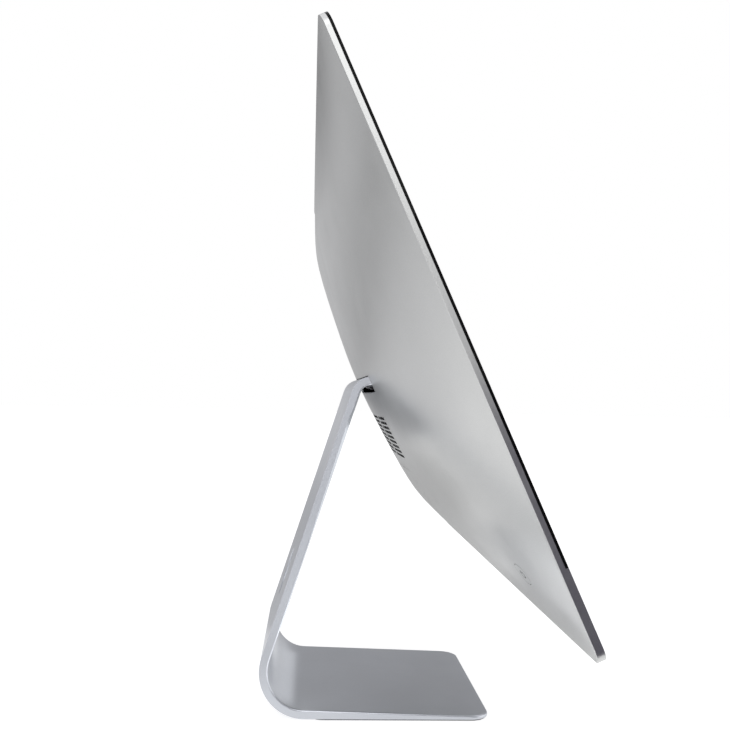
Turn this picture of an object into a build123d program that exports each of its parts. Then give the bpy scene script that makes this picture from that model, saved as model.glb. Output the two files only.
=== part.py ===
from build123d import *
import math
import os

# Slim all in one desktop computer: a thin domed display housing on a bent aluminium stand.
# X runs to the user's right, -Y is the side the screen faces, +Z is up, and the origin is the
# middle of the stand's footprint on the desk. The display is leaned back as it stands at rest.

os.makedirs("parts", exist_ok=True)

# Display housing
DISPLAY_W = 650.0
DISPLAY_H = 456.0
EDGE_T = 6.0
CORNER_R = 12.0
CHIN_H = 66.0
GLASS_T = 1.8
TAPE_T = 0.3
RIM_W = 4.5
WALL = 2.0
DOME_POWER = 2.6
CREST_RISE = 50.5
CREST_FALL = 25.4
CREST_POWER = 1.6
SKIRT_RISE = 98.0
FOLD_SHARPNESS = 16
RIM_ROUND = 0.5
LIP_T = 1.8

# Stand
STAND_W = 200.0
FOOT_FRONT = -101.5
BEND_Y = 61.5
BEND_R = 40.0
PLATE_T = 7.6
PAD_T = 1.2
TIP_T = 3.0
ARM_LEAN = 17.7
NECK_TOP = 299.5
FOOT_CORNER_R = 17.0
CABLE_HOLE_R = 23.0
CABLE_HOLE_UP = 68.0
NECK_BEND_R = 18.0
EDGE_ROUND = 1.5
FACET_W = 2.7
FACET_LOW = 58.0
FACET_WIDEST = 264.0
FACET_HIGH = 284.5

# Hinge: where its axis lies over the desk, and where it lies in the display
HINGE_Y = -2.5
HINGE_Z = 295.7
HINGE_DEPTH = 42.99
HINGE_UP = 216.34
REST_LEAN = 24.3
SHAFT_R = 3.0
RUNNING_FIT = 0.05
EYE_R = 5.5
EYE_HALF = 60.0
HUB_R = 7.0
SLOT_BELOW = 6.3
SLOT_ABOVE = 9.9
SLOT_SIDE = 0.8

# Vent, openings and buttons on the back, as heights above the display's bottom edge
VENT_ROWS = 9
VENT_COLUMNS = 2
VENT_PITCH_UP = 4.9
VENT_PITCH_ACROSS = 72.0
VENT_UP = 164.0
VENT_SLOT = (64.0, 3.0)
DOOR_HALF_W = 56.0
DOOR_LOW = 76.0
DOOR_HIGH = 128.0
DOOR_GAP = 0.25
POWER_X = -246.0
POWER_UP = 52.0
POWER_R = 8.5
RELEASE_UP = 68.5
RELEASE_R = 2.4
BUTTON_GAP = 0.4
INLET_UP = 46.0
INLET_R = 11.8
PORT_UP = 62.0
PORT_GAP = 0.15
REACH = 62.0

# The display's own frame: x across, y back from its front face, z up from its bottom edge.
LEAN = math.radians(REST_LEAN)
DISPLAY = Plane(
    origin=(
        0,
        HINGE_Y - HINGE_DEPTH * math.cos(LEAN) - HINGE_UP * math.sin(LEAN),
        HINGE_Z + HINGE_DEPTH * math.sin(LEAN) - HINGE_UP * math.cos(LEAN),
    ),
    x_dir=(1, 0, 0),
    z_dir=(0, math.sin(LEAN), math.cos(LEAN)),
)


def behind(y):
    """Plane parallel to the screen, y behind its front, drawn as seen from the front."""
    return Plane(DISPLAY.from_local_coords((0, y, 0)), x_dir=DISPLAY.x_dir, z_dir=-DISPLAY.y_dir)


def across(x):
    """Plane square to the display's width, drawn with depth across and height up."""
    return Plane(DISPLAY.from_local_coords((x, 0, 0)), x_dir=DISPLAY.y_dir, z_dir=DISPLAY.x_dir)


def panel(y, x, z, width, height, corner=0.0):
    """Rectangle centred at (x, z) on the plane y behind the front."""
    with BuildSketch(behind(y)) as sketch:
        with Locations((x, z)):
            if corner:
                RectangleRounded(width, height, corner)
            else:
                Rectangle(width, height)
    return sketch.sketch


def discs(y, radius, *centres):
    """Circles at the given (x, z) centres on the plane y behind the front."""
    with BuildSketch(behind(y)) as sketch:
        with Locations(*centres):
            Circle(radius)
    return sketch.sketch


def dome_depth(x, z):
    """Depth of the back skin: a flat skirt above and below, folding softly into a shallow crest."""
    half_h = DISPLAY_H / 2
    sideways = 1 - (abs(x) / (DISPLAY_W / 2)) ** DOME_POWER
    height = abs(z - half_h) / half_h
    skirt = SKIRT_RISE * max(1 - height, 1e-9)
    crest = CREST_RISE - CREST_FALL * height**CREST_POWER
    folded = (skirt**-FOLD_SHARPNESS + crest**-FOLD_SHARPNESS) ** (-1 / FOLD_SHARPNESS)
    return EDGE_T + sideways * folded


def both_ways(shares):
    """The shares of a half width or height, mirrored about the middle."""
    return [-share for share in reversed(shares[1:])] + list(shares)


def depth_of(edge):
    """How far an edge's middle lies behind the front face."""
    return DISPLAY.to_local_coords(edge.center()).Y


def dome_solid(front, inset, wall, corner, rim=0.0):
    """Solid from the plane front to the domed back, inset from the outline, wall inside the skin."""
    half_w = DISPLAY_W / 2 - inset
    low = inset
    high = DISPLAY_H - inset
    stations = (0.0, 0.16, 0.33, 0.5, 0.67, 0.82, 0.93, 1.0)
    rows = (0.0, 0.2, 0.38, 0.5, 0.56, 0.6, 0.64, 0.7, 0.8, 0.9, 1.0)
    with BuildPart() as dome:
        for share in both_ways(stations):
            x = share * half_w
            heights = [(low + high) / 2 + row * (high - low) / 2 for row in both_ways(rows)]
            with BuildSketch(across(x)):
                with BuildLine():
                    back = Spline(*[(dome_depth(x, z) - wall, z) for z in heights])
                    Polyline(back @ 1, (front, high), (front, low), back @ 0)
                make_face()
        loft()
        fillet(dome.edges().filter_by(lambda e: e.length < 2 * EDGE_T), corner)
        if rim:
            fillet(dome.edges().filter_by(lambda e: abs(depth_of(e) - EDGE_T) < 2), rim)
    return dome.part


SKIN = dome_solid(0, 0, 0, CORNER_R, RIM_ROUND)
CAVITY = dome_solid(GLASS_T + TAPE_T, RIM_W, WALL, CORNER_R - RIM_W)

# ---------------------------------------------------------------- stand
lean = math.radians(ARM_LEAN)
normal = (math.cos(lean), math.sin(lean))
bend_z = PAD_T + BEND_R
rear_line = BEND_Y * normal[0] + bend_z * normal[1] + BEND_R
front_line = rear_line - PLATE_T
neck_low = NECK_TOP - PLATE_T


def on_line(offset, z):
    """Point of an arm face at height z, for the face that far along the arm's normal."""
    return ((offset - z * normal[1]) / normal[0], z)


hole_z = bend_z + CABLE_HOLE_UP
hole_y = on_line(rear_line, hole_z)[0]
HOLE_PLANE = Plane((0, hole_y, hole_z), x_dir=(1, 0, 0), z_dir=(0, normal[0], normal[1]))

with BuildPart() as stand_plate:
    with BuildSketch(Plane.YZ.offset(-STAND_W / 2)) as plate_profile:
        with BuildLine():
            tip = (FOOT_FRONT, PAD_T)
            Line(tip, (BEND_Y, PAD_T))
            outer = CenterArc((BEND_Y, bend_z), BEND_R, -90, 90 + ARM_LEAN)
            Polyline(outer @ 1, on_line(rear_line, NECK_TOP), (HINGE_Y, NECK_TOP))
            Line((HINGE_Y, NECK_TOP), (HINGE_Y, neck_low))
            Line((HINGE_Y, neck_low), on_line(front_line, neck_low))
            inner = CenterArc((BEND_Y, bend_z), BEND_R - PLATE_T, ARM_LEAN, -90 - ARM_LEAN)
            Line(on_line(front_line, neck_low), inner @ 0)
            Polyline(inner @ 1, (FOOT_FRONT, PAD_T + TIP_T), tip)
        make_face()
    extrude(amount=STAND_W)
    # Bend where the arm turns forward into the housing.
    long_edges = stand_plate.edges().filter_by(Axis.X)
    shoulder = long_edges.sort_by(Axis.Z)[-2:].sort_by(Axis.Y)[-1]
    armpit = long_edges.filter_by(lambda e: abs(e.center().Z - neck_low) < 0.1).sort_by(Axis.Y)[-1]
    fillet(armpit, NECK_BEND_R - PLATE_T)
    fillet(shoulder, NECK_BEND_R)
    front_corners = stand_plate.edges().filter_by(Axis.Z).group_by(Axis.Y)[0]
    fillet(front_corners, FOOT_CORNER_R)
    # Rounding along the inner outline: round the foot's top and up both edges of the arm's front.
    inner_rim = stand_plate.edges().filter_by(
        lambda e: abs(e.center().Z - PAD_T - TIP_T) < 0.3 and e.center().Y < FOOT_FRONT + FOOT_CORNER_R)
    fillet(inner_rim, EDGE_ROUND)
    # Facet on each front corner of the arm, widening upward and closing again below the neck.
    for side in (-1, 1):
        for z, cut in ((FACET_LOW, -0.3), (FACET_WIDEST, FACET_W), (FACET_HIGH, -0.3)):
            face_y = on_line(front_line, z)[0]
            with BuildSketch(Plane.XY.offset(z)):
                with BuildLine():
                    Polyline(
                        (side * (STAND_W / 2 - cut - 9), face_y - 9),
                        (side * (STAND_W / 2 + 9), face_y + cut + 9),
                        (side * (STAND_W / 2 + 9), face_y - 9),
                        close=True,
                    )
                make_face()
        loft(ruled=True, mode=Mode.SUBTRACT)
    # Hinge eye on the middle of the neck, with the ends cut back for the brackets.
    for side in (-1, 1):
        with BuildSketch(Plane.YZ.offset(side * EYE_HALF)):
            with Locations((HINGE_Y, HINGE_Z)):
                Rectangle(2 * (HUB_R + 0.9), 3 * PLATE_T)
        extrude(amount=side * (STAND_W / 2 - EYE_HALF), mode=Mode.SUBTRACT)
    with BuildSketch(Plane.YZ.offset(-EYE_HALF)):
        with Locations((HINGE_Y, HINGE_Z)):
            Circle(EYE_R)
    extrude(amount=2 * EYE_HALF)
    with BuildSketch(Plane.YZ.offset(-EYE_HALF)):
        with Locations((HINGE_Y, HINGE_Z)):
            Circle(SHAFT_R + RUNNING_FIT)
    extrude(amount=2 * EYE_HALF, mode=Mode.SUBTRACT)
    # Round hole through the arm for the mains cord.
    with BuildSketch(HOLE_PLANE.offset(1)):
        Circle(CABLE_HOLE_R)
    extrude(amount=-(PLATE_T + 2), mode=Mode.SUBTRACT)
    chamfer(stand_plate.edges().filter_by(GeomType.CIRCLE).filter_by(
        lambda e: abs(e.radius - CABLE_HOLE_R) < 0.01), 0.6)
stand_plate.part.label = "stand_plate"
export_step(stand_plate.part, "parts/stand_plate.step")

with BuildPart() as foot_pad:
    with BuildSketch():
        with Locations((0, (FOOT_FRONT + BEND_Y) / 2)):
            RectangleRounded(STAND_W - 3, BEND_Y - FOOT_FRONT - 3, FOOT_CORNER_R - 2)
    extrude(amount=PAD_T)
foot_pad.part.label = "foot_pad"
export_step(foot_pad.part, "parts/foot_pad.step")

# ---------------------------------------------------------------- hinge
bracket_x = EYE_HALF + 0.4
bracket_t = 6.0
washer_x = bracket_x + bracket_t + 0.2
washer_t = 5.2
nut_x = washer_x + washer_t + 0.2
nut_t = 5.0
frame_y = 33.0
frame_t = 3.0
post_y = 40.0
post_spots = [(-106, 196), (106, 196), (-106, 240), (106, 240)]
boss_top = 52.0

with BuildPart() as hinge_shaft:
    with BuildSketch(across(-nut_x - nut_t - 1)):
        with Locations((HINGE_DEPTH, HINGE_UP)):
            Circle(SHAFT_R)
    extrude(amount=2 * (nut_x + nut_t + 1))
    chamfer(hinge_shaft.edges().filter_by(GeomType.CIRCLE), 0.5)
hinge_shaft.part.label = "hinge_shaft"
export_step(hinge_shaft.part, "parts/hinge_shaft.step")


def washer_stack(side):
    """Friction washers in one clamped stack, with a groove between neighbours."""
    with BuildPart() as stack:
        with BuildSketch(across(side * washer_x)):
            with Locations((HINGE_DEPTH, HINGE_UP)):
                Circle(HUB_R - 0.6)
                Circle(SHAFT_R + RUNNING_FIT, mode=Mode.SUBTRACT)
        extrude(amount=side * washer_t)
        for i in range(1, 4):
            with BuildSketch(across(side * (washer_x + i * washer_t / 4 - 0.15))):
                with Locations((HINGE_DEPTH, HINGE_UP)):
                    Circle(HUB_R)
                    Circle(HUB_R - 1.6, mode=Mode.SUBTRACT)
            extrude(amount=side * 0.3, mode=Mode.SUBTRACT)
    return stack.part


for side, name in ((-1, "friction_washers_left"), (1, "friction_washers_right")):
    with BuildPart() as friction_washers:
        add(washer_stack(side))
    friction_washers.part.label = name
    export_step(friction_washers.part, f"parts/{name}.step")

with BuildPart() as hinge_nuts:
    for side in (-1, 1):
        with BuildSketch(across(side * nut_x)):
            with Locations((HINGE_DEPTH, HINGE_UP)):
                RegularPolygon(6.0, 6)
                Circle(SHAFT_R + RUNNING_FIT, mode=Mode.SUBTRACT)
        extrude(amount=side * nut_t)
hinge_nuts.part.label = "hinge_nuts"
export_step(hinge_nuts.part, "parts/hinge_nuts.step")

flange_low = 200.0
flange_high = 238.0
flange_w = 22.0
for side, name in ((-1, "hinge_bracket_left"), (1, "hinge_bracket_right")):
    with BuildPart() as hinge_bracket:
        with BuildSketch(across(side * bracket_x)):
            with Locations((HINGE_DEPTH, HINGE_UP)):
                Circle(HUB_R)
            with Locations(((frame_y + HINGE_DEPTH) / 2, HINGE_UP)):
                Rectangle(HINGE_DEPTH - frame_y, 2 * HUB_R)
            with Locations((HINGE_DEPTH, HINGE_UP)):
                Circle(SHAFT_R + RUNNING_FIT, mode=Mode.SUBTRACT)
        extrude(amount=side * bracket_t)
        middle = (flange_low + flange_high) / 2
        extrude(panel(frame_y + 2.5, side * (bracket_x + flange_w / 2), middle, flange_w,
                      flange_high - flange_low), amount=2.5)
        extrude(discs(frame_y + 3, 1.7, (side * (bracket_x + 14), 204.5), (side * (bracket_x + 14), 233.5)),
                amount=3.5, mode=Mode.SUBTRACT)
    hinge_bracket.part.label = name
    export_step(hinge_bracket.part, f"parts/{name}.step")

with BuildPart() as hinge_frame:
    extrude(panel(frame_y, 0, 218, 228, 56, 5), amount=frame_t)
    extrude(discs(post_y, 4.5, *post_spots), amount=post_y - frame_y)
    extrude(discs(post_y + 1, 1.7, *post_spots), amount=post_y, mode=Mode.SUBTRACT)
    extrude(panel(frame_y + 1, 0, 218, 90, 26, 4), amount=frame_t + 2, mode=Mode.SUBTRACT)
hinge_frame.part.label = "hinge_frame"
export_step(hinge_frame.part, "parts/hinge_frame.step")

with BuildPart() as frame_screws:
    extrude(discs(boss_top - 2.2, 1.5, *post_spots), amount=boss_top - 2.2 - (frame_y - frame_t))
    extrude(discs(frame_y - frame_t, 3.2, *post_spots), amount=1.8)
frame_screws.part.label = "frame_screws"
export_step(frame_screws.part, "parts/frame_screws.step")

# ---------------------------------------------------------------- housing
port_sizes = {
    "headphone_jack": (286.0, 6.0, 6.0),
    "card_slot": (266.0, 4.6, 26.0),
    "usb_port_1": (244.0, 7.4, 15.0),
    "usb_port_2": (226.0, 7.4, 15.0),
    "usb_port_3": (208.0, 7.4, 15.0),
    "usb_port_4": (190.0, 7.4, 15.0),
    "data_port_1": (174.0, 6.4, 10.0),
    "data_port_2": (160.0, 6.4, 10.0),
    "network_port": (136.0, 15.6, 13.6),
}

with BuildPart() as rear_housing:
    add(SKIN)
    add(CAVITY, mode=Mode.SUBTRACT)
    # Seat for the cover glass, and the screen opening behind it.
    extrude(panel(GLASS_T + TAPE_T, 0, DISPLAY_H, 2 * DISPLAY_W, 2 * (DISPLAY_H - CHIN_H)),
            amount=GLASS_T + TAPE_T + 1, mode=Mode.SUBTRACT)
    extrude(panel(GLASS_T + TAPE_T + LIP_T, 0, CHIN_H, DISPLAY_W - 2 * RIM_W, 11), amount=LIP_T)
    # Screw bosses for the hinge frame.
    extrude(discs(boss_top, 4.5, *post_spots), amount=boss_top - post_y)
    extrude(discs(boss_top - 1.7, 1.7, *post_spots), amount=boss_top - 1.7 - post_y, mode=Mode.SUBTRACT)
    # Slot that the neck of the stand enters.
    slot_h = SLOT_ABOVE + SLOT_BELOW
    extrude(panel(REACH, 0, HINGE_UP + (SLOT_ABOVE - SLOT_BELOW) / 2, STAND_W + 2 * SLOT_SIDE, slot_h),
            amount=REACH - HINGE_DEPTH, mode=Mode.SUBTRACT)
    # Air vent below the hinge.
    with BuildSketch(behind(REACH)):
        with Locations((0, VENT_UP)):
            with GridLocations(VENT_PITCH_ACROSS, VENT_PITCH_UP, VENT_COLUMNS, VENT_ROWS):
                SlotOverall(*VENT_SLOT)
    extrude(amount=REACH - 45, mode=Mode.SUBTRACT)
    # Memory door opening.
    extrude(panel(REACH, 0, (DOOR_LOW + DOOR_HIGH) / 2, 2 * DOOR_HALF_W, DOOR_HIGH - DOOR_LOW, 4),
            amount=REACH - 25, mode=Mode.SUBTRACT)
    # Power button, door release and mains inlet.
    extrude(discs(40, POWER_R + BUTTON_GAP, (POWER_X, POWER_UP)), amount=30, mode=Mode.SUBTRACT)
    extrude(discs(REACH, RELEASE_R + BUTTON_GAP, (0, RELEASE_UP)), amount=REACH - 20, mode=Mode.SUBTRACT)
    extrude(discs(REACH, INLET_R + PORT_GAP, (0, INLET_UP)), amount=REACH - 10, mode=Mode.SUBTRACT)
    # Row of sockets and the lock slot.
    for port_x, port_w, port_h in port_sizes.values():
        extrude(panel(50, port_x, PORT_UP, port_w + 2 * PORT_GAP, port_h + 2 * PORT_GAP),
                amount=44, mode=Mode.SUBTRACT)
    extrude(panel(50, 112, PORT_UP, 7, 3, 1.4), amount=40, mode=Mode.SUBTRACT)
    # Sound and air slots along the bottom edge.
    with BuildSketch(DISPLAY.offset(-1)):
        with Locations((0, 3.9)):
            with GridLocations(12, 1, 43, 1):
                SlotOverall(7.5, 1.6)
    extrude(amount=RIM_W + 2, mode=Mode.SUBTRACT)
rear_housing.part.label = "rear_housing"
export_step(rear_housing.part, "parts/rear_housing.step")

with BuildPart() as cover_glass:
    glass_h = DISPLAY_H - CHIN_H
    with BuildSketch(behind(GLASS_T)):
        with Locations((0, CHIN_H + glass_h / 2)):
            RectangleRounded(DISPLAY_W, glass_h, CORNER_R)
        with Locations((0, CHIN_H + 20.1)):
            Rectangle(DISPLAY_W, 40)
    extrude(amount=GLASS_T)
cover_glass.part.label = "cover_glass"
export_step(cover_glass.part, "parts/cover_glass.step")

with BuildPart() as adhesive_tape:
    tape_h = DISPLAY_H - CHIN_H - 1.4
    tape_mid = CHIN_H + 0.6 + tape_h / 2
    extrude(panel(GLASS_T + TAPE_T, 0, tape_mid, DISPLAY_W - 1.2, tape_h, CORNER_R - 1), amount=TAPE_T)
    extrude(panel(GLASS_T + TAPE_T, 0, tape_mid, DISPLAY_W - 2 * RIM_W + 0.4, tape_h - 8, CORNER_R - 5),
            amount=TAPE_T, mode=Mode.SUBTRACT)
adhesive_tape.part.label = "adhesive_tape"
export_step(adhesive_tape.part, "parts/adhesive_tape.step")

with BuildPart() as memory_door:
    add(SKIN)
    add(CAVITY, mode=Mode.SUBTRACT)
    extrude(panel(REACH, 0, (DOOR_LOW + DOOR_HIGH) / 2, 2 * (DOOR_HALF_W - DOOR_GAP),
                  DOOR_HIGH - DOOR_LOW - 2 * DOOR_GAP, 4 - DOOR_GAP), amount=REACH - 20, mode=Mode.INTERSECT)
memory_door.part.label = "memory_door"
export_step(memory_door.part, "parts/memory_door.step")

with BuildPart() as door_release:
    extrude(discs(REACH, RELEASE_R, (0, RELEASE_UP)), amount=REACH - 32)
    add(SKIN, mode=Mode.INTERSECT)
door_release.part.label = "door_release"
export_step(door_release.part, "parts/door_release.step")

with BuildPart() as power_button:
    extrude(discs(REACH, POWER_R, (POWER_X, POWER_UP)), amount=REACH - 10.4)
    add(SKIN, mode=Mode.INTERSECT)
power_button.part.label = "power_button"
export_step(power_button.part, "parts/power_button.step")

with BuildPart() as power_switch:
    extrude(panel(7.4, POWER_X, POWER_UP, 18, 14, 1), amount=1.6)
    extrude(discs(9.0, 3.0, (POWER_X, POWER_UP)), amount=1.6)
power_switch.part.label = "power_switch"
export_step(power_switch.part, "parts/power_switch.step")

# ---------------------------------------------------------------- sockets on the back
with BuildPart() as power_inlet:
    extrude(discs(REACH, INLET_R, (0, INLET_UP)), amount=REACH - 15)
    add(SKIN, mode=Mode.INTERSECT)
    extrude(discs(16, INLET_R + 2.2, (0, INLET_UP)), amount=8)
    extrude(discs(REACH, INLET_R - 1.8, (0, INLET_UP)), amount=REACH - 10, mode=Mode.SUBTRACT)
    extrude(discs(18, 1.2, (-4.2, INLET_UP - 2.2), (4.2, INLET_UP - 2.2), (0, INLET_UP + 4.4)), amount=9)
power_inlet.part.label = "power_inlet"
export_step(power_inlet.part, "parts/power_inlet.step")

socket_wall = 0.7
socket_depth = 11.0
for name, (port_x, port_w, port_h) in port_sizes.items():
    surface = dome_depth(port_x, PORT_UP)
    back = surface - socket_depth
    with BuildPart() as socket:
        extrude(panel(REACH, port_x, PORT_UP, port_w, port_h), amount=REACH - max(back - 2, 6.4))
        add(SKIN, mode=Mode.INTERSECT)
        if name == "headphone_jack":
            extrude(discs(REACH, 1.9, (port_x, PORT_UP)), amount=REACH - 8, mode=Mode.SUBTRACT)
        else:
            inside_w = port_w - 2 * socket_wall
            inside_h = port_h - 2 * socket_wall
            extrude(panel(REACH, port_x, PORT_UP, inside_w, inside_h), amount=REACH - max(back, 8.0),
                    mode=Mode.SUBTRACT)
            # Contact tongue standing up from the floor of the socket.
            if inside_w > 4:
                extrude(panel(surface - 4, port_x - inside_w / 4, PORT_UP, inside_w / 5, inside_h - 3),
                        amount=surface - 4 - max(back, 8.0))
    socket.part.label = name
    export_step(socket.part, f"parts/{name}.step")

# ---------------------------------------------------------------- screen, camera, aerials
with BuildPart() as lcd_panel:
    extrude(panel(GLASS_T + 1.2, 0, 261, 608, 352), amount=1.2)
lcd_panel.part.label = "lcd_panel"
export_step(lcd_panel.part, "parts/lcd_panel.step")

with BuildPart() as backlight:
    extrude(panel(5.4, 0, 261, 602, 344, 2), amount=5.4 - GLASS_T - 1.2)
backlight.part.label = "backlight"
export_step(backlight.part, "parts/backlight.step")

with BuildPart() as camera_module:
    extrude(panel(4.8, 0, 444.5, 20, 8, 1), amount=4.8 - 2.6)
    extrude(discs(2.6, 2.6, (0, 444.5)), amount=2.6 - GLASS_T)
camera_module.part.label = "camera_module"
export_step(camera_module.part, "parts/camera_module.step")

with BuildPart() as microphone:
    extrude(panel(3.4, 24, 444.5, 7, 4), amount=1.2)
microphone.part.label = "microphone"
export_step(microphone.part, "parts/microphone.step")

for side, name in ((-1, "antenna_left"), (1, "antenna_right")):
    with BuildPart() as antenna:
        extrude(panel(4.4, side * 140, 444.5, 60, 8, 1), amount=1.6)
    antenna.part.label = name
    export_step(antenna.part, f"parts/{name}.step")

# ---------------------------------------------------------------- electronics
with BuildPart() as logic_board:
    extrude(panel(8.6, 183, 171, 210, 174, 3), amount=1.6)
logic_board.part.label = "logic_board"
export_step(logic_board.part, "parts/logic_board.step")

with BuildPart() as wireless_card:
    extrude(panel(10.4, 262, 230, 24, 30), amount=1.8)
wireless_card.part.label = "wireless_card"
export_step(wireless_card.part, "parts/wireless_card.step")

with BuildPart() as cpu_heatsink:
    extrude(panel(12.0, 155, 224, 64, 58, 3), amount=3.4)
    with BuildSketch(behind(19.8)):
        with Locations((155, 224)):
            with GridLocations(1, 5.4, 1, 11):
                Rectangle(60, 1.6)
    extrude(amount=7.9)
cpu_heatsink.part.label = "cpu_heatsink"
export_step(cpu_heatsink.part, "parts/cpu_heatsink.step")

with BuildPart() as heat_pipe:
    with BuildLine(behind(22.9)) as pipe_line:
        FilletPolyline((172, 240), (112, 170), (-60, 170), radius=36)
    with BuildSketch(Plane(pipe_line.line @ 0, z_dir=pipe_line.line % 0)):
        Circle(3.0)
    sweep()
heat_pipe.part.label = "heat_pipe"
export_step(heat_pipe.part, "parts/heat_pipe.step")

with BuildPart() as exhaust_fins:
    extrude(panel(28.0, 0, 166, 142, 38, 1), amount=2.0)
    with BuildSketch(behind(47.0)):
        with Locations((0, 166)):
            with GridLocations(7, 1, 20, 1):
                Rectangle(1.2, 36)
    extrude(amount=19.1)
exhaust_fins.part.label = "exhaust_fins"
export_step(exhaust_fins.part, "parts/exhaust_fins.step")

fan_spot = (-116, 150)
with BuildPart() as fan_housing:
    extrude(panel(34, *fan_spot, 76, 76, 8), amount=24)
    extrude(panel(32.4, *fan_spot, 72.8, 72.8, 6.4), amount=20.8, mode=Mode.SUBTRACT)
    extrude(discs(12, 27.0, fan_spot), amount=3, mode=Mode.SUBTRACT)
    extrude(panel(32.4, fan_spot[0] + 36, fan_spot[1], 20, 56), amount=20.8, mode=Mode.SUBTRACT)
    extrude(discs(32.5, 1.5, fan_spot), amount=19)
fan_housing.part.label = "fan_housing"
export_step(fan_housing.part, "parts/fan_housing.step")

with BuildPart() as fan_rotor:
    extrude(discs(31.4, 12.0, fan_spot), amount=18.4)
    with BuildSketch(behind(31.0)):
        with Locations(fan_spot):
            with PolarLocations(20, 11):
                Rectangle(21, 1.2, rotation=24)
    extrude(amount=17.6)
    extrude(discs(32, 1.5 + RUNNING_FIT, fan_spot), amount=18.6, mode=Mode.SUBTRACT)
fan_rotor.part.label = "fan_rotor"
export_step(fan_rotor.part, "parts/fan_rotor.step")

with BuildPart() as hard_drive:
    extrude(panel(32.6, 0, 313, 147, 101.6, 2), amount=26.1)
hard_drive.part.label = "hard_drive"
export_step(hard_drive.part, "parts/hard_drive.step")

for side, name in ((-1, "drive_bracket_left"), (1, "drive_bracket_right")):
    with BuildPart() as drive_bracket:
        extrude(panel(30, side * 75.2, 313, 3.2, 96), amount=22)
        extrude(panel(11, side * 81, 313, 14, 96, 2), amount=3)
    drive_bracket.part.label = name
    export_step(drive_bracket.part, f"parts/{name}.step")

with BuildPart() as power_supply:
    extrude(panel(22.5, -202, 240, 94, 180, 3), amount=16)
power_supply.part.label = "power_supply"
export_step(power_supply.part, "parts/power_supply.step")

with BuildPart() as inner_power_cable:
    with BuildLine(behind(12.0)) as cable_line:
        FilletPolyline((-14.2, INLET_UP), (-62, INLET_UP), (-195, 96), (-195, 149.9), radius=24)
    with BuildSketch(Plane(cable_line.line @ 0, z_dir=cable_line.line % 0)):
        Circle(2.4)
    sweep()
inner_power_cable.part.label = "inner_power_cable"
export_step(inner_power_cable.part, "parts/inner_power_cable.step")

with BuildPart() as display_cable:
    extrude(panel(6.9, 205, 190, 24, 90, 2), amount=1.4)
display_cable.part.label = "display_cable"
export_step(display_cable.part, "parts/display_cable.step")

with BuildPart() as memory_cage:
    extrude(panel(36, 0, 101, 84, 44, 2), amount=25)
    extrude(panel(37, 0, 101, 81, 41, 1), amount=24, mode=Mode.SUBTRACT)
memory_cage.part.label = "memory_cage"
export_step(memory_cage.part, "parts/memory_cage.step")

for z, name in ((94.0, "memory_module_lower"), (108.0, "memory_module_upper")):
    with BuildPart() as memory_module:
        extrude(panel(40, 0, z, 67.6, 1.2), amount=26)
        with BuildSketch(behind(36)):
            with Locations((0, z)):
                with GridLocations(16, 1, 4, 1):
                    Rectangle(11, 3.6)
        extrude(amount=18)
    memory_module.part.label = name
    export_step(memory_module.part, f"parts/{name}.step")

for side, name in ((-1, "speaker_left"), (1, "speaker_right")):
    with BuildPart() as speaker:
        extrude(panel(6.4, side * 180, 30, 106, 34, 3), amount=4.0)
        extrude(discs(7.4, 12, (side * 160, 30)), amount=2)
        extrude(discs(8, 8, (side * 160, 30)), amount=1.4, mode=Mode.SUBTRACT)
    speaker.part.label = name
    export_step(speaker.part, f"parts/{name}.step")

with BuildPart() as board_screws:
    with BuildSketch(behind(10.2)):
        with Locations((183, 171)):
            with GridLocations(194, 158, 2, 2):
                Circle(2.6)
    extrude(amount=1.6)
board_screws.part.label = "board_screws"
export_step(board_screws.part, "parts/board_screws.step")
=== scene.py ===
"""Looks of the all in one pc: procedural materials, small trim, floor, lights and camera."""
import math

import bmesh
import bpy
from mathutils import Matrix, Vector
from mathutils.bvhtree import BVHTree


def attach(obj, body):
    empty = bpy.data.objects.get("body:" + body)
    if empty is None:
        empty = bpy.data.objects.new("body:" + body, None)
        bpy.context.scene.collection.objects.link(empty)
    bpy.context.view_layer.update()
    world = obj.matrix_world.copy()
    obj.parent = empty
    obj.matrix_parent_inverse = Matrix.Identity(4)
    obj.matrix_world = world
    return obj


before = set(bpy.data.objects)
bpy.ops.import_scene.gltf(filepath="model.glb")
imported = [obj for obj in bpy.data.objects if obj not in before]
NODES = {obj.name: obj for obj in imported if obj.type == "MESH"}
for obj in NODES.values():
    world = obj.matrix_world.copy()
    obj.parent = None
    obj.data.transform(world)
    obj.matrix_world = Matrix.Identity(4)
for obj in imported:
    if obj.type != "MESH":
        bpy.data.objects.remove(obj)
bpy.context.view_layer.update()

MM = 0.001


# ---------------------------------------------------------------- the display's own axes
def out_of_the_back():
    """The direction out of the display's back, square to the widest faces of its glass."""
    faces = NODES["cover_glass"].data.polygons
    normal = max(faces, key=lambda face: face.area).normal.copy()
    return normal if normal.y > 0 else -normal


ACROSS = Vector((1, 0, 0))
BACK = out_of_the_back()
UP = ACROSS.cross(BACK).normalized()
LEAN = math.atan2(UP.y, UP.z)


def reach(node, axis):
    """How far a node reaches along an axis, as its lowest and highest value."""
    values = [vertex.co.dot(axis) for vertex in NODES[node].data.vertices]
    return min(values), max(values)


def middle(node, axis):
    """The middle of a node's reach along an axis."""
    return sum(reach(node, axis)) / 2


# ---------------------------------------------------------------- camera
CAMERA_PLACE = (-0.89006, 0.06173, 0.28273)
CAMERA_TURN = (0.04397, 0.04033, 0.01953)       # yaw, pitch and roll, in radians
CAMERA_SHIFT = (0.01938, -0.00851)
LENS, SENSOR = 44.234, 36.0                     # in millimetres
NEAREST_SEEN = 0.02


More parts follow.
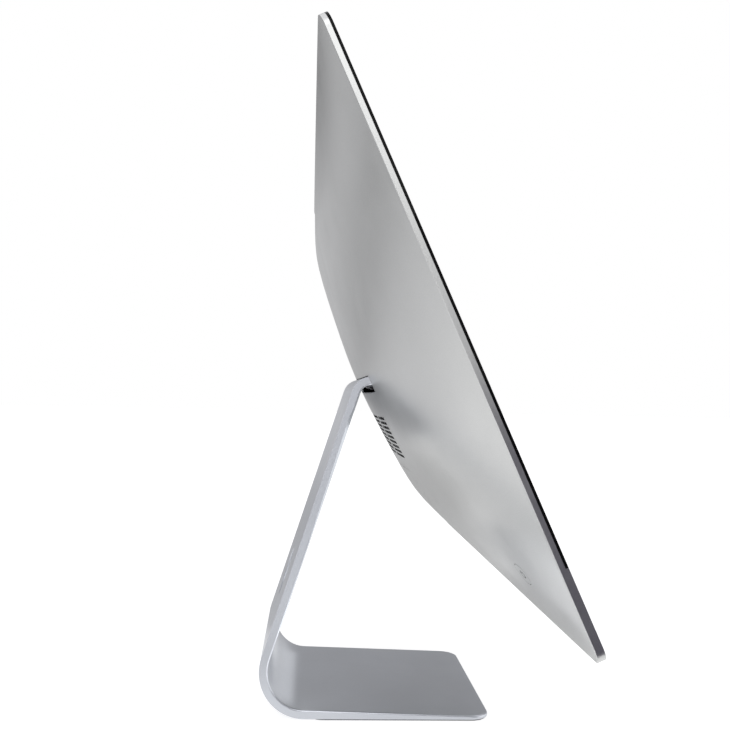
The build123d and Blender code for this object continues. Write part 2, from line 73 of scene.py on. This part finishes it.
def make_camera():
    """Looks across the display's edge from the user's left, at about the hinge's height."""
    yaw, pitch, roll = CAMERA_TURN
    ahead = Vector((math.cos(pitch) * math.cos(yaw), -math.cos(pitch) * math.sin(yaw),
                    math.sin(pitch)))
    level = Vector((-math.sin(yaw), -math.cos(yaw), 0))
    above = level.cross(ahead)
    right = level * math.cos(roll) + above * math.sin(roll)
    up = above * math.cos(roll) - level * math.sin(roll)
    turn = Matrix((right, up, -ahead)).transposed().to_4x4()
    data = bpy.data.cameras.new("camera")
    data.sensor_width = SENSOR
    data.lens = LENS
    data.shift_x, data.shift_y = CAMERA_SHIFT
    data.clip_start = NEAREST_SEEN
    camera = bpy.data.objects.new("camera", data)
    camera.matrix_world = Matrix.Translation(CAMERA_PLACE) @ turn
    bpy.context.scene.collection.objects.link(camera)
    bpy.context.scene.camera = camera


# ---------------------------------------------------------------- materials
# Colours are linear. Noise scales are per metre, and bump depths are in metres.
class Finish:
    """One procedural material: a Principled shader and the texture nodes that feed it."""

    def __init__(self, name, **sockets):
        self.material = bpy.data.materials.new(name)
        self.material.use_nodes = True
        self.tree = self.material.node_tree
        self.tree.nodes.clear()
        output = self.tree.nodes.new("ShaderNodeOutputMaterial")
        self.shader = self.tree.nodes.new("ShaderNodeBsdfPrincipled")
        self.tree.links.new(self.shader.outputs["BSDF"], output.inputs["Surface"])
        for socket, value in sockets.items():
            self.shader.inputs[socket.replace("_", " ")].default_value = value
        self.place = self.node("ShaderNodeTexCoord").outputs["Object"]

    def node(self, kind, **settings):
        """A new node with the given settings."""
        made = self.tree.nodes.new(kind)
        for key, value in settings.items():
            setattr(made, key, value)
        return made

    def put(self, value, socket):
        """Links an output to a socket, or sets the socket to a value."""
        if isinstance(value, bpy.types.NodeSocket):
            self.tree.links.new(value, socket)
        else:
            socket.default_value = value

    def feed(self, node, **inputs):
        """Links outputs to a node's inputs, or sets their values."""
        for key, value in inputs.items():
            self.put(value, node.inputs[key.replace("_", " ")])
        return node

    def to(self, socket, value):
        """Links an output to the shader."""
        self.tree.links.new(value, self.shader.inputs[socket])

    def noise(self, scale, detail=2.0, rough=0.5, at=None):
        """Noise over the object, or over a stretched place."""
        made = self.feed(self.node("ShaderNodeTexNoise"),
                         Scale=scale, Detail=detail, Roughness=rough)
        self.tree.links.new(at or self.place, made.inputs["Vector"])
        return made.outputs["Fac"]

    def stretched(self, size=(1, 1, 1), turn=(0, 0, 0)):
        """The place on the object, turned and scaled, to feed a texture."""
        made = self.feed(self.node("ShaderNodeMapping"), Scale=size, Rotation=turn)
        self.tree.links.new(self.place, made.inputs["Vector"])
        return made.outputs["Vector"]

    def span(self, value, low, high, start=0.3, stop=0.7):
        """A texture value between start and stop, brought into the range low to high."""
        made = self.feed(self.node("ShaderNodeMapRange"), Value=value)
        return self.feed(made, From_Min=start, From_Max=stop,
                         To_Min=low, To_Max=high).outputs["Result"]

    def blend(self, factor, first, second):
        """A colour between two, by a factor."""
        made = self.node("ShaderNodeMix", data_type="RGBA")
        self.tree.links.new(factor, made.inputs[0])
        for socket, colour in ((made.inputs[6], first), (made.inputs[7], second)):
            self.put((*colour, 1) if isinstance(colour, tuple) else colour, socket)
        return made.outputs[2]

    def tint(self, texture, dark, light, start=0.3, stop=0.7):
        """A colour between dark and light, by a texture value between start and stop."""
        return self.blend(self.span(texture, 0.0, 1.0, start, stop), dark, light)

    def math(self, operation, first, second=0.0):
        """One step of arithmetic on texture values."""
        made = self.node("ShaderNodeMath", operation=operation)
        self.put(first, made.inputs[0])
        self.put(second, made.inputs[1])
        return made.outputs[0]

    def bump(self, height, strength, depth, after=None):
        """Relief from a texture value, on top of an earlier relief if there is one."""
        made = self.feed(self.node("ShaderNodeBump"),
                         Strength=strength, Distance=depth, Height=height)
        if after is not None:
            self.tree.links.new(after, made.inputs["Normal"])
        return made.outputs["Normal"]


def grey(level):
    """A neutral grey."""
    return (level, level, level)


def blasted_aluminium(name, dark, light):
    """Fine bead-blasted and clear anodised aluminium."""
    made = Finish(name, Metallic=1.0)
    cloud = made.noise(7.0, 3.0)
    grain = made.noise(1900.0, 2.0)
    tone = made.tint(cloud, dark, light)
    fleck = made.tint(grain, grey(0.93), grey(1.0), 0.35, 0.65)
    tinted = made.node("ShaderNodeMix", data_type="RGBA", blend_type="MULTIPLY")
    for index, value in ((0, 1.0), (6, tone), (7, fleck)):
        made.put(value, tinted.inputs[index])
    made.to("Base Color", tinted.outputs[2])
    made.to("Roughness", made.span(made.noise(24.0, 4.0), 0.28, 0.36))
    pits = made.bump(grain, 0.22, 0.00003)
    made.to("Normal", made.bump(made.noise(5200.0, 1.0), 0.12, 0.00001, pits))
    return made.material


def moulded_plastic(name, dark, light):
    """Black moulded plastic with a fine spark-eroded grain."""
    made = Finish(name)
    made.to("Base Color", made.tint(made.noise(38.0, 4.0), dark, light))
    made.to("Roughness", made.span(made.noise(120.0, 3.0), 0.38, 0.52))
    made.to("Normal", made.bump(made.noise(1400.0, 3.0), 0.35, 0.00005))
    return made.material


def plain_metal(name, dark, light, smooth, rough, stretch=(1, 1, 1)):
    """Rolled, drawn or plated metal, with marks along the axis that has the smallest scale."""
    made = Finish(name, Metallic=1.0)
    lines = made.noise(900.0, 3.0, at=made.stretched(stretch))
    made.to("Base Color", made.tint(made.noise(30.0, 3.0), dark, light))
    made.to("Roughness", made.span(lines, smooth, rough))
    made.to("Normal", made.bump(lines, 0.3, 0.00002))
    return made.material


def rubber_pad(name):
    """The soft pad under the foot, with a fine open grain."""
    made = Finish(name)
    grain = made.noise(700.0, 5.0, 0.7)
    made.to("Base Color", made.tint(grain, (0.016, 0.016, 0.017), (0.034, 0.034, 0.036)))
    made.to("Roughness", made.span(made.noise(60.0, 3.0), 0.78, 0.92))
    made.to("Normal", made.bump(grain, 0.6, 0.0001))
    return made.material


def foam_tape(name):
    """Black foam tape, with open cells along its cut edge."""
    made = Finish(name)
    cells = made.feed(made.node("ShaderNodeTexVoronoi"), Vector=made.place, Scale=4200.0)
    cell = cells.outputs["Distance"]
    made.to("Base Color", made.tint(cell, (0.01, 0.01, 0.011), (0.03, 0.03, 0.032), 0.0, 0.6))
    made.to("Roughness", made.span(made.noise(90.0, 3.0), 0.8, 0.95))
    made.to("Normal", made.bump(cell, 0.5, 0.00004))
    return made.material


def screen_glass(name):
    """Clear glass over a black printed border and the dark grey of the unlit cell."""
    made = Finish(name, IOR=1.52, Specular_IOR_Level=0.07)
    low, high = reach("lcd_panel", UP)
    half_width = reach("lcd_panel", ACROSS)[1]
    soft_edge = 0.4 * MM
    turned = made.stretched(turn=(LEAN, 0, 0))
    parts = made.feed(made.node("ShaderNodeSeparateXYZ"), Vector=turned)
    side = made.math("SUBTRACT", made.math("ABSOLUTE", parts.outputs["X"]), half_width)
    height = made.math("ABSOLUTE", made.math("SUBTRACT", parts.outputs["Z"], (high + low) / 2))
    past = made.math("MAXIMUM", side, made.math("SUBTRACT", height, (high - low) / 2))
    inside = made.span(past, 1.0, 0.0, -soft_edge, soft_edge)
    cell = made.tint(made.noise(11.0, 3.0), (0.0085, 0.0088, 0.0098), (0.0125, 0.013, 0.0145))
    ink = made.tint(made.noise(500.0, 2.0), (0.0022, 0.0022, 0.0024), (0.0036, 0.0036, 0.0038))
    made.to("Base Color", made.blend(inside, ink, cell))
    made.to("Roughness", made.span(made.noise(14.0, 5.0, 0.6), 0.025, 0.07))
    made.to("Normal", made.bump(made.noise(9.0, 1.0), 0.02, 0.0004))
    return made.material


def display_cell(name):
    """The layered edge of the panel: dark film with faint stripes."""
    made = Finish(name)
    layers = made.noise(260.0, 2.0, at=made.stretched((0.2, 6.0, 0.2), turn=(LEAN, 0, 0)))
    made.to("Base Color", made.tint(layers, (0.02, 0.022, 0.026), (0.1, 0.105, 0.11)))
    made.to("Roughness", made.span(made.noise(45.0, 3.0), 0.22, 0.4))
    made.to("Normal", made.bump(layers, 0.2, 0.00003))
    return made.material


def circuit_board(name):
    """Dark green solder mask over tracks, with small dark chips standing on it."""
    made = Finish(name, Coat_Weight=0.25, Coat_Roughness=0.2)
    flat = made.stretched(turn=(LEAN, 0, 0))
    tracks, chips = [
        made.feed(made.node("ShaderNodeTexVoronoi", distance="CHEBYCHEV"), Vector=flat, Scale=scale)
        for scale in (210.0, 62.0)]
    track = made.span(tracks.outputs["Distance"], 1.0, 0.0, 0.32, 0.36)
    chip = made.span(chips.outputs["Distance"], 1.0, 0.0, 0.19, 0.2)
    mask = made.blend(track, (0.006, 0.03, 0.014), (0.016, 0.066, 0.03))
    made.to("Base Color", made.blend(chip, mask, (0.012, 0.012, 0.013)))
    made.to("Roughness", made.span(made.noise(300.0, 3.0), 0.3, 0.5))
    raised = made.math("ADD", made.math("MULTIPLY", chip, 4.0), track)
    made.to("Normal", made.bump(raised, 0.6, 0.0001))
    return made.material


def printed_mark(name):
    """Dark grey ink laid into a shallow laser-cut mark."""
    made = Finish(name)
    grain = made.noise(2600.0, 3.0)
    made.to("Base Color", made.tint(grain, (0.012, 0.012, 0.013), (0.03, 0.03, 0.032)))
    made.to("Roughness", made.span(made.noise(800.0, 2.0), 0.5, 0.65))
    made.to("Normal", made.bump(grain, 0.3, 0.00002))
    return made.material


def lens_glass(name, dark, light):
    """A small coated window in the printed border."""
    made = Finish(name, IOR=1.5, Coat_Weight=0.4, Coat_Roughness=0.03)
    made.to("Base Color", made.tint(made.noise(900.0, 2.0), dark, light))
    made.to("Roughness", made.span(made.noise(300.0, 3.0), 0.04, 0.12))
    made.to("Normal", made.bump(made.noise(700.0, 1.0), 0.05, 0.00002))
    return made.material


# Each material slot of the CAD, with what makes its finish: a dark and a light colour, then for
# plain metals the smoothest and the roughest value and the marks' scale along each axis.
SLOTS = {
    "anodised_aluminium": (blasted_aluminium, (0.55, 0.555, 0.55), (0.58, 0.585, 0.58)),
    "stand_aluminium": (blasted_aluminium, (0.54, 0.56, 0.60), (0.58, 0.60, 0.64)),
    "foot_pad": (rubber_pad,),
    "screen_glass": (screen_glass,),
    "tape": (foam_tape,),
    "display_cell": (display_cell,),
    "hinge_steel": (plain_metal, (0.5, 0.5, 0.52), (0.62, 0.62, 0.63), 0.28, 0.42, (0.1, 1, 1)),
    "socket_metal": (plain_metal, (0.55, 0.54, 0.52), (0.68, 0.67, 0.64), 0.22, 0.36, (1, 0.15, 1)),
    "black_plastic": (moulded_plastic, (0.012, 0.012, 0.013), (0.022, 0.022, 0.024)),
    "board": (circuit_board,),
    "copper": (plain_metal, (0.72, 0.33, 0.19), (0.86, 0.45, 0.28), 0.25, 0.4, (0.15, 1, 1)),
    "fin_aluminium": (plain_metal, (0.6, 0.6, 0.61), (0.72, 0.72, 0.73), 0.3, 0.45, (1, 1, 0.1)),
    "drive_metal": (plain_metal, (0.42, 0.43, 0.44), (0.55, 0.56, 0.57), 0.32, 0.5),
    "screw_steel": (plain_metal, (0.3, 0.3, 0.31), (0.45, 0.45, 0.46), 0.25, 0.4),
}


def finish_nodes():
    """Puts the finish of each slot on the CAD's own meshes."""
    finishes = {name: make(name, *values) for name, (make, *values) in SLOTS.items()}
    for node in NODES.values():
        for slot in node.material_slots:
            slot.material = finishes[slot.material.name.split(".")[0]]


# ---------------------------------------------------------------- small trim
def new_piece(name, mesh_builder, finish, body):
    """A flat-shaded mesh piece that rides on a body."""
    build = bmesh.new()
    mesh_builder(build)
    bmesh.ops.recalc_face_normals(build, faces=build.faces)
    mesh = bpy.data.meshes.new(name)
    build.to_mesh(mesh)
    build.free()
    piece = bpy.data.objects.new(name, mesh)
    bpy.context.scene.collection.objects.link(piece)
    mesh.materials.append(finish)
    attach(piece, body)


def surface_of(node):
    """The node's mesh as a tree for casting rays."""
    mesh = NODES[node].data
    return BVHTree.FromPolygons([vertex.co for vertex in mesh.vertices],
                                [tuple(face.vertices) for face in mesh.polygons])


def closed_strip(build, left, right, top, bottom):
    """A closed ribbon between two lines of points, from the lift top down to the lift bottom."""
    (top_left, top_right), (low_left, low_right) = [
        [[build.verts.new(point + lift) for point in side] for side in (left, right)]
        for lift in (top, bottom)]
    last = len(left) - 1
    for i in range(last):
        build.faces.new((top_left[i], top_left[i + 1], top_right[i + 1], top_right[i]))
        build.faces.new((low_left[i + 1], low_left[i], low_right[i], low_right[i + 1]))
        build.faces.new((top_left[i + 1], top_left[i], low_left[i], low_left[i + 1]))
        build.faces.new((top_right[i], top_right[i + 1], low_right[i + 1], low_right[i]))
    for i in (0, last):
        build.faces.new((top_left[i], top_right[i], low_right[i], low_left[i]))


def standby_mark():
    """The generic power mark on the button: an open ring with a short bar in its gap."""
    ring, stroke, half_gap = 3.0 * MM, 0.8 * MM, math.radians(38)
    bar_start, bar_length = 0.6 * MM, 2.9 * MM
    ring_steps, bar_steps = 48, 8
    proud, sunk = BACK * 0.03 * MM, -BACK * 0.2 * MM
    well_behind = BACK * 0.2
    surface = surface_of("power_button")
    centre = ACROSS * middle("power_button", ACROSS) + UP * middle("power_button", UP)

    def on_face(across, up):
        """The point of the button's face at a place measured from its centre."""
        return surface.ray_cast(centre + ACROSS * across + UP * up + well_behind, -BACK)[0]

    def build(mesh):
        arc = 2 * math.pi - 2 * half_gap
        angles = [half_gap + arc * i / ring_steps for i in range(ring_steps + 1)]
        inner, outer = [[on_face(radius * math.sin(angle), radius * math.cos(angle))
                         for angle in angles]
                        for radius in (ring - stroke / 2, ring + stroke / 2)]
        closed_strip(mesh, inner, outer, proud, sunk)
        heights = [bar_start + bar_length * i / bar_steps for i in range(bar_steps + 1)]
        left, right = [[on_face(across, up) for up in heights]
                       for across in (-stroke / 2, stroke / 2)]
        closed_strip(mesh, left, right, proud, sunk)

    new_piece("standby_mark", build, printed_mark("standby_ink"),
              "power_button")


def camera_windows():
    """The camera's lens window and the small window of its pilot light, in the top border."""
    deep, proud = 0.4 * MM, 0.03 * MM
    segments = 40
    lens = lens_glass("lens_window", (0.010, 0.012, 0.022), (0.02, 0.024, 0.04))
    pilot = lens_glass("pilot_window", (0.05, 0.06, 0.055), (0.09, 0.1, 0.095))
    above, beside = middle("camera_module", UP), middle("camera_module", ACROSS)
    front = reach("cover_glass", BACK)[0]
    turn = BACK.to_track_quat("Z", "Y").to_matrix().to_4x4()
    for name, across, radius, finish in (
            ("camera_lens", beside, 2.6 * MM, lens),
            ("camera_pilot", beside + 8 * MM, 0.7 * MM, pilot)):
        centre = ACROSS * across + UP * above + BACK * (front + deep / 2 - proud)

        def build(mesh, centre=centre, radius=radius):
            bmesh.ops.create_cone(
                mesh, cap_ends=True, segments=segments, radius1=radius, radius2=radius,
                depth=deep, matrix=Matrix.Translation(centre) @ turn)

        new_piece(name, build, finish, "display")


# ---------------------------------------------------------------- floor and cards
TABLE_TOP, FLOOR_TOP = 0.0, -0.003
CARD_LIFT = 0.001                               # a lying card is this far over the table
ARM_CARD_LEFT, ARM_CARD_RIGHT = -0.07, 0.098


def flat_stage(name, corners, finish):
    """A flat stage sheet through the given corners."""
    mesh = bpy.data.meshes.new(name)
    mesh.from_pydata(corners, [], [tuple(range(len(corners)))])
    mesh.materials.append(finish)
    sheet = bpy.data.objects.new(name, mesh)
    bpy.context.scene.collection.objects.link(sheet)
    return sheet


def lying(low, high, z=CARD_LIFT):
    """Corners of a level rectangle between two (x, y) corners."""
    return [(low[0], low[1], z), (high[0], low[1], z), (high[0], high[1], z), (low[0], high[1], z)]


def before_arm(low, high):
    """Corners of a card in front of the stand's arm, between two (y, z) edges."""
    return [(ARM_CARD_LEFT, *low), (ARM_CARD_RIGHT, *low),
            (ARM_CARD_RIGHT, *high), (ARM_CARD_LEFT, *high)]


def matte(name, dark, light, scale=3.0, glow=0.0):
    """A matt painted stage surface with faint mottling, lit from inside where it glows."""
    made = Finish(name, Emission_Color=(1, 1, 1, 1), Emission_Strength=glow)
    made.to("Base Color", made.tint(made.noise(scale, 3.0), dark, light))
    made.to("Roughness", made.span(made.noise(20.0, 3.0), 0.7, 0.8))
    return made.material


def pale_floor():
    """A pale table top, and a floor a little lower round it that metal doesn't mirror."""
    pale = matte("pale_table", grey(0.42), grey(0.46), 1.5, glow=0.75)
    flat_stage("table", lying((-1.4, -1.4), (0.25, 1.4), TABLE_TOP), pale)
    floor = flat_stage("floor", lying((-14.0, -14.0), (14.0, 14.0), FLOOR_TOP), pale)
    floor.visible_glossy = False


def mirrored_cards():
    """Cards that only reflections see.

    Violet and grey flags on and beside the table darken what the metal's lower parts and the
    foot mirror. Bright cards before the arm and the bend hide the stand's own dark image in
    the lower housing.
    """
    violet = matte("violet_flag", (0.085, 0.077, 0.11), (0.105, 0.095, 0.13))
    dull = matte("grey_flag", grey(0.22), grey(0.26), glow=0.3)
    bright = matte("bright_card", grey(0.42), grey(0.46), glow=0.7)
    soft = matte("soft_grey_flag", grey(0.22), grey(0.26), glow=0.55)
    upright = [(-0.62, -0.02, 0.0), (-0.62, -0.7, 0.0), (-0.62, -0.7, 0.3), (-0.62, -0.02, 0.3)]
    for name, corners, finish in (
            ("flag_upright", upright, violet),
            ("flag_lying", lying((-1.4, -1.3), (-0.36, -0.1)), violet),
            ("flag_beyond", lying((-0.08, -1.3), (1.3, -0.11)), dull),
            ("flag_far", lying((0.25, -0.11), (1.3, 0.2)), dull),
            ("card_on_arm", before_arm((0.09, 0.05), (0.044, 0.195)), bright),
            ("card_on_bend", before_arm((0.066, 0.02), (0.09, 0.05)), bright),
            ("flag_near", lying((-0.5, 0.0), (-0.2, 0.2)), soft)):
        card = flat_stage(name, corners, finish)
        for ray in ("camera", "diffuse", "transmission", "volume_scatter", "shadow"):
            setattr(card, f"visible_{ray}", False)


# ---------------------------------------------------------------- light
# Brightness of the surroundings from straight below (0) over the horizon (0.5) to straight
# above (1).
SURROUNDINGS = ((0.40, 0.87), (0.46, 0.36), (0.5, 0.71), (0.575, 0.70), (0.61, 0.5), (0.65, 0.25),
                (0.75, 0.5), (0.925, 1.1))
BLUENESS = 1.02


def soft_box(name, place, aim, size, watts, on_matt=False):
    """A rectangular studio light, seen by reflections, that lights matt surfaces if asked to."""
    data = bpy.data.lights.new(name, "AREA")
    data.shape = "RECTANGLE"
    data.size, data.size_y = size
    data.energy = watts
    light = bpy.data.objects.new(name, data)
    light.visible_diffuse = on_matt
    ahead = (Vector(aim) - Vector(place)).to_track_quat("-Z", "Y")
    light.matrix_world = Matrix.Translation(place) @ ahead.to_matrix().to_4x4()
    bpy.context.scene.collection.objects.link(light)


def studio_world():
    """White behind everything for the camera, and soft grey surroundings for the light."""
    world = bpy.data.worlds.new("studio")
    world.use_nodes = True
    tree = world.node_tree
    background = tree.nodes["Background"]
    place = tree.nodes.new("ShaderNodeTexCoord")
    parts = tree.nodes.new("ShaderNodeSeparateXYZ")
    tree.links.new(place.outputs["Generated"], parts.inputs["Vector"])
    ramp = tree.nodes.new("ShaderNodeValToRGB")
    height = tree.nodes.new("ShaderNodeMapRange")
    height.inputs["From Min"].default_value = -1.0
    tree.links.new(parts.outputs["Z"], height.inputs["Value"])
    tree.links.new(height.outputs["Result"], ramp.inputs["Fac"])
    steps = ramp.color_ramp.elements
    steps[0].position = SURROUNDINGS[0][0]
    steps[1].position = SURROUNDINGS[-1][0]
    for position, _ in SURROUNDINGS[1:-1]:
        steps.new(position)
    for step, (_, brightness) in zip(steps, SURROUNDINGS):
        step.color = (brightness, brightness, brightness * BLUENESS, 1)
    seen = tree.nodes.new("ShaderNodeLightPath")
    choose = tree.nodes.new("ShaderNodeMix")
    choose.data_type = "RGBA"
    tree.links.new(seen.outputs["Is Camera Ray"], choose.inputs[0])
    tree.links.new(ramp.outputs["Color"], choose.inputs[6])
    choose.inputs[7].default_value = (1, 1, 1, 1)
    tree.links.new(choose.outputs[2], background.inputs["Color"])
    bpy.context.scene.world = world


def studio():
    """A big window high on the left, panels that only reflections see, and a weak soft sun."""
    studio_world()
    soft_box("window", (-2.6, 0.5, 1.95), (0, 0, 0.3), (2.6, 2.2), 28.0, on_matt=True)
    soft_box("front_card", (-0.4, -2.4, 0.55), (0, 0, 0.2), (3.2, 1.1), 12.0)
    soft_box("side_card", (-1.7, 0.18, 0.26), (-0.1, 0.08, 0.26), (0.46, 0.2), 0.5)
    soft_box("under_panel", (-0.1, -0.003, 0.014), (-0.1, -0.003, 1.0), (0.2, 0.145), 0.065)
    soft_box("arm_light", (-0.1, 0.038, 0.154), (-0.1, 0.133, 0.184), (0.05, 0.2), 0.022)
    overhead = bpy.data.lights.new("overhead", "SUN")
    overhead.energy = 0.2
    overhead.angle = math.radians(75)
    bpy.context.scene.collection.objects.link(bpy.data.objects.new("overhead", overhead))
    bpy.context.scene.view_settings.view_transform = "Standard"


make_camera()
finish_nodes()
standby_mark()
camera_windows()
pale_floor()
mirrored_cards()
studio()
